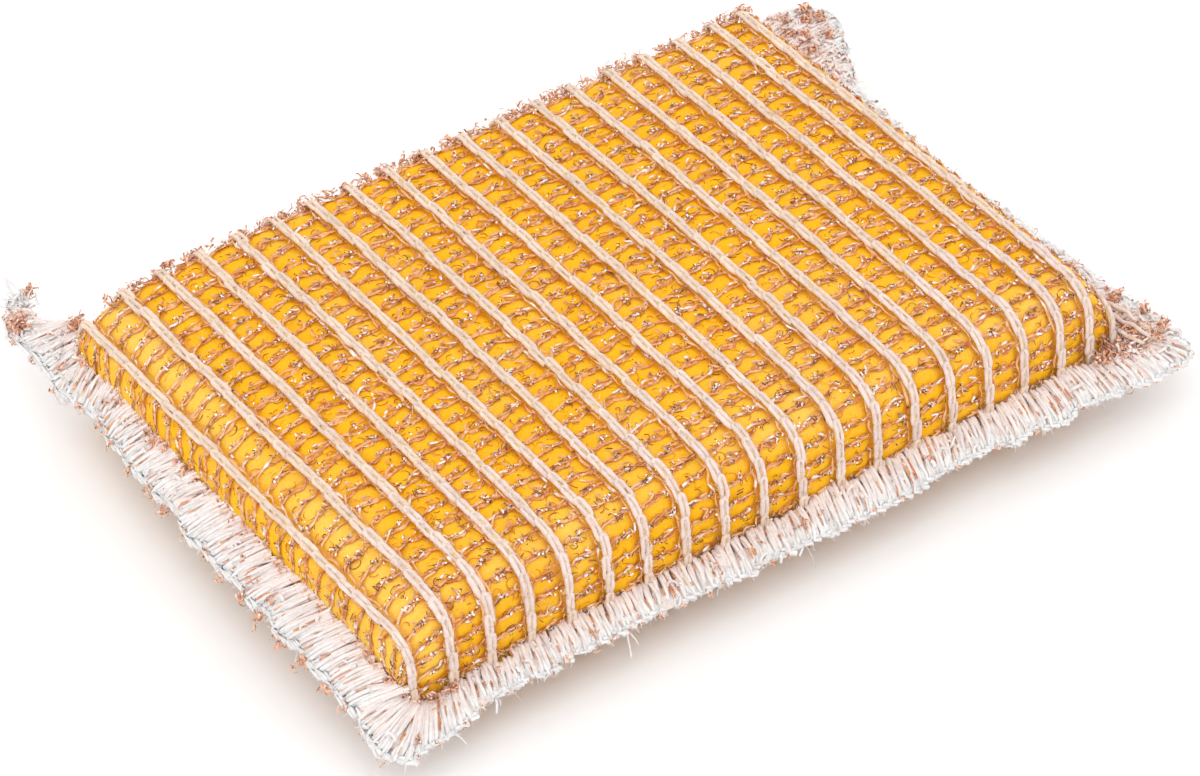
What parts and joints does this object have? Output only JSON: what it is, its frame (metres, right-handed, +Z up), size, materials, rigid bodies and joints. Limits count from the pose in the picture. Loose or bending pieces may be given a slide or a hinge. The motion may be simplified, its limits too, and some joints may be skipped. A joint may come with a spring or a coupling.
{
  "type": "pot scrubber",
  "caption": "Rectangular scouring pad: a yellow foam block in a net of white yarn chains and shiny copper tape, closed by white overlock seams on three sides.",
  "frame": {"origin": "on the resting surface, under the middle yarn chain, midway between the front seam line and the back fold", "axes": "+X along the pad's long side, +Y from the front seam to the back fold, +Z up out of the pad's top"},
  "size_m": [0.136, 0.103, 0.0226],
  "materials": {
    "foam": "matte open-cell foam",
    "yarn": "soft off-white yarn",
    "copper_tape": "metallised film, shiny",
    "overlock_yarn": "soft off-white bulked thread"
  },
  "bodies": {
    "root": {"foam_core": "foam", "chain_01": "yarn", "chain_02": "yarn", "chain_03": "yarn", "chain_04": "yarn", "chain_05": "yarn", "chain_06": "yarn", "chain_07": "yarn", "chain_08": "yarn", "chain_09": "yarn", "chain_10": "yarn", "chain_11": "yarn", "chain_12": "yarn", "chain_13": "yarn", "chain_14": "yarn", "chain_15": "yarn", "chain_16": "yarn", "chain_17": "yarn", "chain_18": "yarn", "chain_19": "yarn", "chain_20": "yarn", "tape_panel_01": "copper_tape", "tape_panel_02": "copper_tape", "tape_panel_03": "copper_tape", "tape_panel_04": "copper_tape", "tape_panel_05": "copper_tape", "tape_panel_06": "copper_tape", "tape_panel_07": "copper_tape", "tape_panel_08": "copper_tape", "tape_panel_09": "copper_tape", "tape_panel_10": "copper_tape", "tape_panel_11": "copper_tape", "tape_panel_12": "copper_tape", "tape_panel_13": "copper_tape", "tape_panel_14": "copper_tape", "tape_panel_15": "copper_tape", "tape_panel_16": "copper_tape", "tape_panel_17": "copper_tape", "tape_panel_18": "copper_tape", "tape_panel_left_side": "copper_tape", "tape_panel_right_side": "copper_tape", "overlock_front": "overlock_yarn", "overlock_left": "overlock_yarn", "overlock_right": "overlock_yarn", "seam_tail_back_left": "overlock_yarn", "seam_flap_back_right": "overlock_yarn"}
  },
  "joints": []
}
